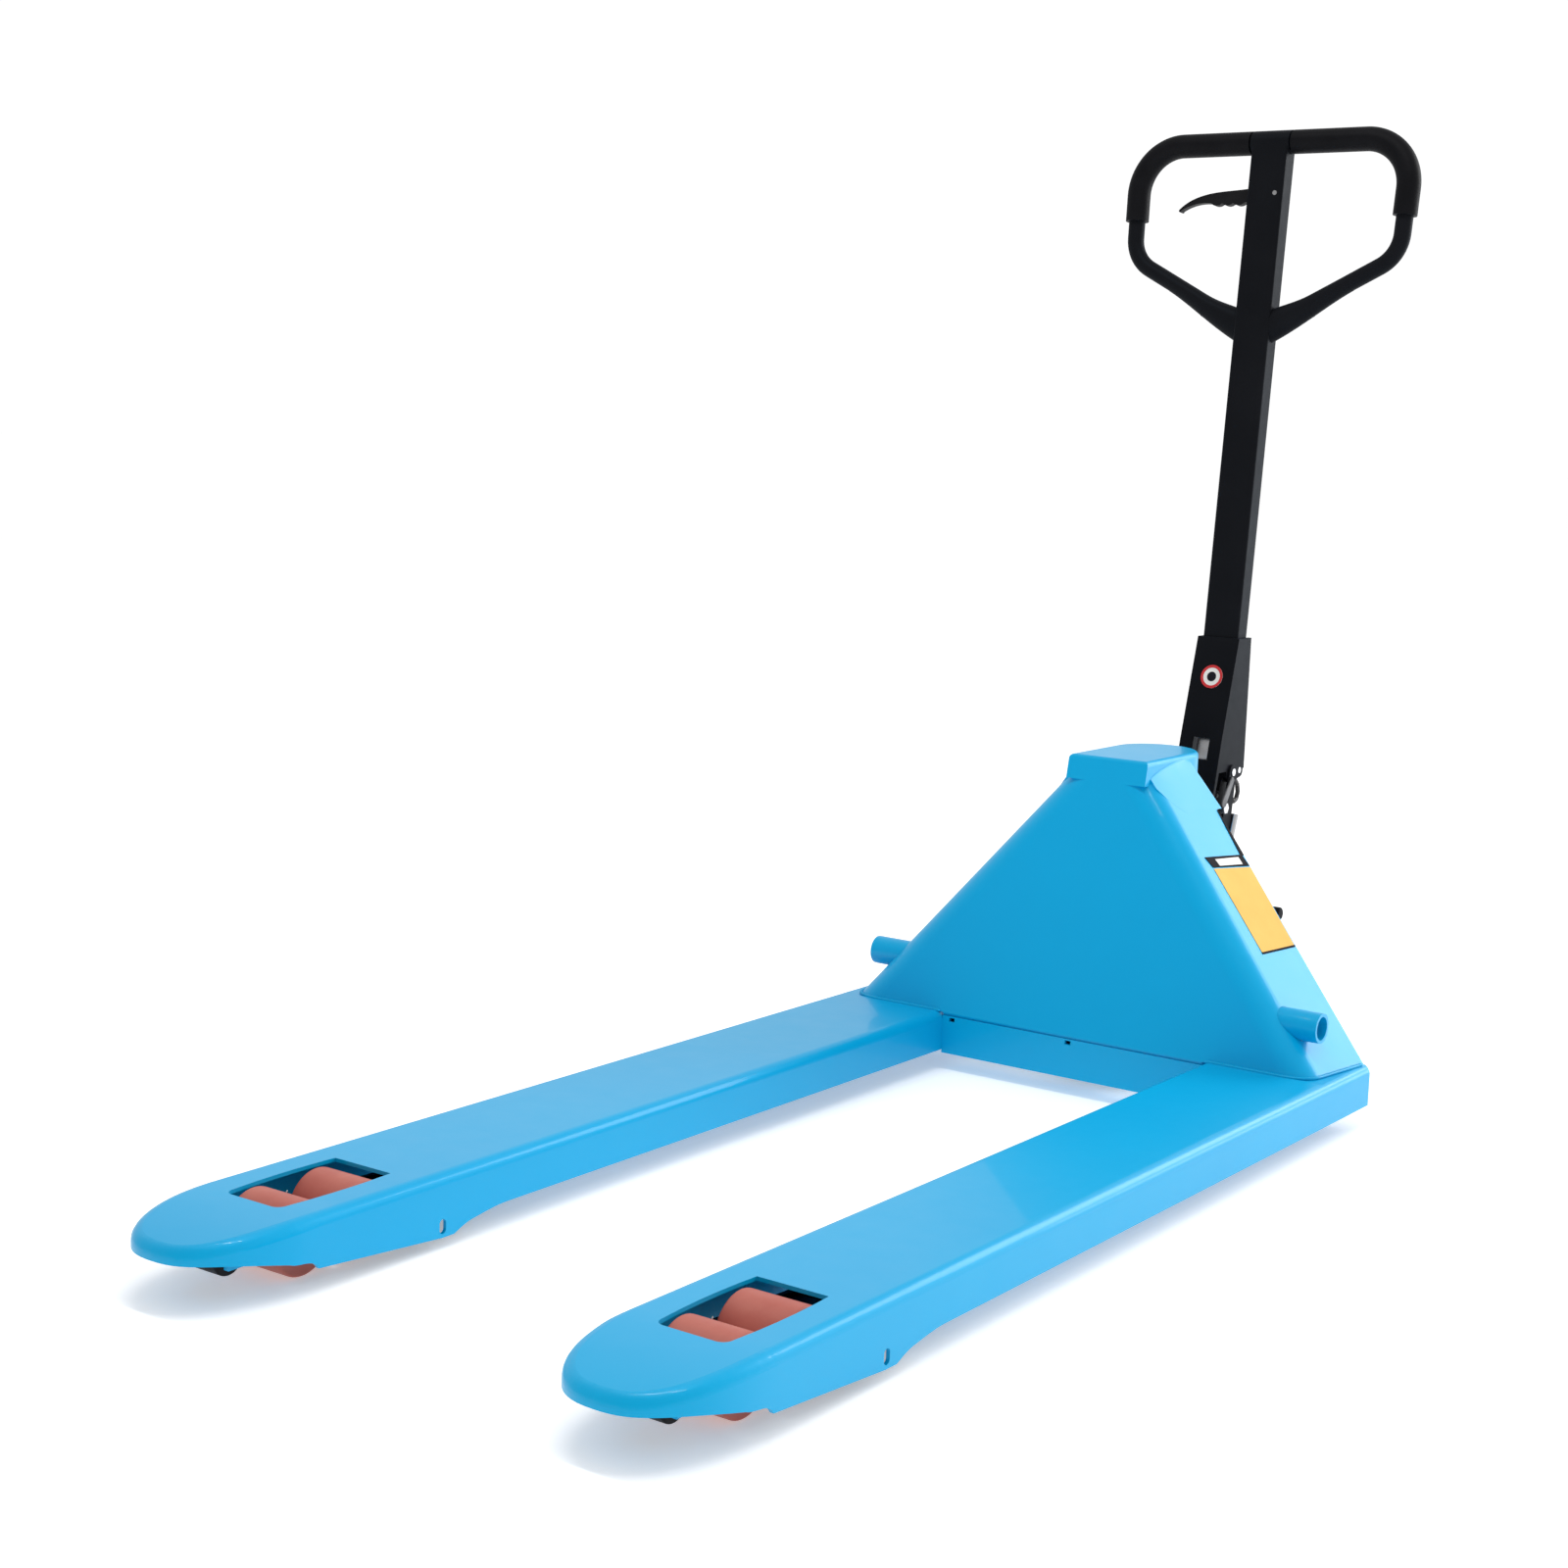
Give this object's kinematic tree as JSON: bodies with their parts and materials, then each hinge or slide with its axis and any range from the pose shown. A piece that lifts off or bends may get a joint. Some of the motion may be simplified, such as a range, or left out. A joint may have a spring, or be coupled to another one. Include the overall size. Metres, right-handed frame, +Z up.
{
  "type": "hand pallet truck",
  "caption": "Low-lift pallet truck with tandem load rollers, hydraulic pump unit, steered wheels and loop handle.",
  "frame": {"origin": "on the floor under the middle of the whole truck, forks lowered and handle upright", "axes": "+Z up, fork tips along -Y, handle at +Y, +X to the side of the marked flank"},
  "size_m": [0.685, 1.6632, 1.208],
  "materials": {
    "bare_steel": "ground",
    "black_paint": "satin black enamel",
    "black_plate": "printed film, blank",
    "black_rubber": "satin",
    "blue_paint": "glossy sky-blue enamel",
    "cast_grey": "machined casting",
    "chrome_steel": "polished",
    "dark_steel": "dark phosphate",
    "disc_white": "printed film, blank",
    "nylon_black": "moulded nylon",
    "roller_red": "polyurethane tyre, faded red",
    "yellow_plate": "printed film, blank"
  },
  "bodies": {
    "seat": {"linkage_seat": "cast_grey", "thrust_bearing": "bare_steel"},
    "frame": {"right_fork": "blue_paint", "left_fork": "blue_paint", "cross_member": "blue_paint", "shell": "blue_paint", "head_cap": "blue_paint", "ram": "chrome_steel", "flank_label": "yellow_plate", "header_plate": "black_plate", "bracket_axles": "bare_steel", "entry_axles": "bare_steel"},
    "rocker": {"rocker": "blue_paint", "rocker_pins": "bare_steel"},
    "pump": {"pump_body": "black_paint", "ram_seal": "black_rubber", "steer_axle": "bare_steel", "pump_pins": "bare_steel", "pump_plugs": "bare_steel", "release_valve": "chrome_steel", "plunger_spring": "bare_steel"},
    "handle": {"handle_yoke": "black_paint", "yoke_disc": "disc_white", "handle_column": "black_paint", "handle_pins": "bare_steel", "handle_loop": "black_paint", "grips": "black_rubber"},
    "cam_roller": {"cam_roller": "bare_steel"},
    "plunger": {"plunger": "chrome_steel"},
    "release_lever": {"release_lever": "dark_steel"},
    "foot_pedal": {"foot_pedal": "black_paint"},
    "control_lever": {"control_lever": "nylon_black"},
    "pull_rod": {"pull_rod": "bare_steel", "release_chain": "dark_steel"},
    "right_rod": {"right_push_rod": "dark_steel"},
    "right_bracket": {"right_wheel_bracket": "black_paint", "right_bracket_pins": "bare_steel"},
    "right_bogie": {"right_bogie_plates": "black_paint", "right_roller_axles": "bare_steel"},
    "right_entry": {"right_entry_roller": "nylon_black"},
    "right_steer_wheel": {"right_steer_tyre": "black_rubber", "right_steer_hub": "cast_grey"},
    "right_front_roller": {"right_front_roller_tyre": "roller_red", "right_front_roller_core": "cast_grey"},
    "right_rear_roller": {"right_rear_roller_tyre": "roller_red", "right_rear_roller_core": "cast_grey"},
    "left_rod": {"left_push_rod": "dark_steel"},
    "left_bracket": {"left_wheel_bracket": "black_paint", "left_bracket_pins": "bare_steel"},
    "left_bogie": {"left_bogie_plates": "black_paint", "left_roller_axles": "bare_steel"},
    "left_entry": {"left_entry_roller": "nylon_black"},
    "left_steer_wheel": {"left_steer_tyre": "black_rubber", "left_steer_hub": "cast_grey"},
    "left_front_roller": {"left_front_roller_tyre": "roller_red", "left_front_roller_core": "cast_grey"},
    "left_rear_roller": {"left_rear_roller_tyre": "roller_red", "left_rear_roller_core": "cast_grey"}
  },
  "joints": [
    {"name": "lift", "type": "slide", "parent": "seat", "child": "frame", "axis": [0, 0, 1], "range_m": [0, 0.115]},
    {"name": "steer", "type": "hinge", "parent": "seat", "child": "pump", "pos_m": [0, 0.56837, 0.206], "axis": [0, 0, 1], "range_deg": [-75, 75]},
    {"name": "rocker_turn", "type": "hinge", "parent": "frame", "child": "rocker", "pos_m": [0, 0.41937, 0.13], "axis": [1, 0, 0], "range_deg": [-45.48, 0]},
    {"name": "handle_tilt", "type": "hinge", "parent": "pump", "child": "handle", "pos_m": [0, 0.73037, 0.372], "axis": [-1, 0, 0], "range_deg": [0, 70], "stiffness_Nm_per_rad": 30, "springref_deg": -17.19},
    {"name": "cam_roller_spin", "type": "hinge", "parent": "handle", "child": "cam_roller", "pos_m": [0, 0.75638, 0.372], "axis": [1, 0, 0], "continuous": true},
    {"name": "plunger_slide", "type": "slide", "parent": "pump", "child": "plunger", "axis": [0, 0, -1], "range_m": [0, 0.0285], "deforming": ["plunger_spring"]},
    {"name": "control_lever", "type": "hinge", "parent": "handle", "child": "control_lever", "pos_m": [0.015, 0.80937, 1.125], "axis": [0, 0.995, -0.0995], "range_deg": [-8, 20], "stiffness_Nm_per_rad": 3},
    {"name": "pull_rod_slide", "type": "slide", "parent": "handle", "child": "pull_rod", "axis": [0, 0.0995, 0.995], "range_m": [-0.0022, 0.0053]},
    {"name": "release_lever_turn", "type": "hinge", "parent": "pump", "child": "release_lever", "pos_m": [0, 0.70637, 0.342], "axis": [1, 0, 0], "range_deg": [-6.5, 16]},
    {"name": "foot_pedal_press", "type": "hinge", "parent": "pump", "child": "foot_pedal", "pos_m": [0.047, 0.68837, 0.24], "axis": [-1, 0, 0], "range_deg": [0, 12], "stiffness_Nm_per_rad": 6, "springref_deg": -5.73},
    {"name": "right_rod_slide", "type": "slide", "parent": "frame", "child": "right_rod", "axis": [0, -1, 0], "range_m": [0, 0.02422]},
    {"name": "right_bracket_swing", "type": "hinge", "parent": "frame", "child": "right_bracket", "pos_m": [0.2625, -0.47163, 0.03], "axis": [1, 0, 0], "range_deg": [0, 42.97]},
    {"name": "right_bogie_tilt", "type": "hinge", "parent": "right_bracket", "child": "right_bogie", "pos_m": [0.2625, -0.63762, 0.037], "axis": [1, 0, 0], "range_deg": [-42.97, 0]},
    {"name": "right_entry_spin", "type": "hinge", "parent": "frame", "child": "right_entry", "pos_m": [0.2625, -0.76362, 0.04], "axis": [1, 0, 0], "continuous": true},
    {"name": "right_steer_wheel_spin", "type": "hinge", "parent": "pump", "child": "right_steer_wheel", "pos_m": [0.052, 0.56837, 0.09], "axis": [1, 0, 0], "continuous": true},
    {"name": "right_front_roller_spin", "type": "hinge", "parent": "right_bogie", "child": "right_front_roller", "pos_m": [0.2625, -0.67863, 0.037], "axis": [1, 0, 0], "continuous": true},
    {"name": "right_rear_roller_spin", "type": "hinge", "parent": "right_bogie", "child": "right_rear_roller", "pos_m": [0.2625, -0.59662, 0.037], "axis": [1, 0, 0], "continuous": true},
    {"name": "left_rod_slide", "type": "slide", "parent": "frame", "child": "left_rod", "axis": [0, -1, 0], "range_m": [0, 0.02422]},
    {"name": "left_bracket_swing", "type": "hinge", "parent": "frame", "child": "left_bracket", "pos_m": [-0.2625, -0.47163, 0.03], "axis": [1, 0, 0], "range_deg": [0, 42.97]},
    {"name": "left_bogie_tilt", "type": "hinge", "parent": "left_bracket", "child": "left_bogie", "pos_m": [-0.2625, -0.63762, 0.037], "axis": [1, 0, 0], "range_deg": [-42.97, 0]},
    {"name": "left_entry_spin", "type": "hinge", "parent": "frame", "child": "left_entry", "pos_m": [-0.2625, -0.76362, 0.04], "axis": [1, 0, 0], "continuous": true},
    {"name": "left_steer_wheel_spin", "type": "hinge", "parent": "pump", "child": "left_steer_wheel", "pos_m": [-0.052, 0.56837, 0.09], "axis": [1, 0, 0], "continuous": true},
    {"name": "left_front_roller_spin", "type": "hinge", "parent": "left_bogie", "child": "left_front_roller", "pos_m": [-0.2625, -0.67863, 0.037], "axis": [1, 0, 0], "continuous": true},
    {"name": "left_rear_roller_spin", "type": "hinge", "parent": "left_bogie", "child": "left_rear_roller", "pos_m": [-0.2625, -0.59662, 0.037], "axis": [1, 0, 0], "continuous": true}
  ],
  "couplings": [
    {"joint": "rocker_turn", "follows": "lift", "rad_per_m": -6.9003},
    {"joint": "plunger_slide", "follows": "handle_tilt", "m_per_rad": 0.02292},
    {"joint": "pull_rod_slide", "follows": "control_lever", "m_per_rad": 0.015},
    {"joint": "release_lever_turn", "follows": "control_lever", "ratio": 0.79},
    {"joint": "right_rod_slide", "follows": "lift", "ratio": 0.21014},
    {"joint": "right_bracket_swing", "follows": "lift", "rad_per_m": 6.5197},
    {"joint": "right_bogie_tilt", "follows": "lift", "rad_per_m": -6.5197},
    {"joint": "left_rod_slide", "follows": "lift", "ratio": 0.21014},
    {"joint": "left_bracket_swing", "follows": "lift", "rad_per_m": 6.5197},
    {"joint": "left_bogie_tilt", "follows": "lift", "rad_per_m": -6.5197}
  ]
}
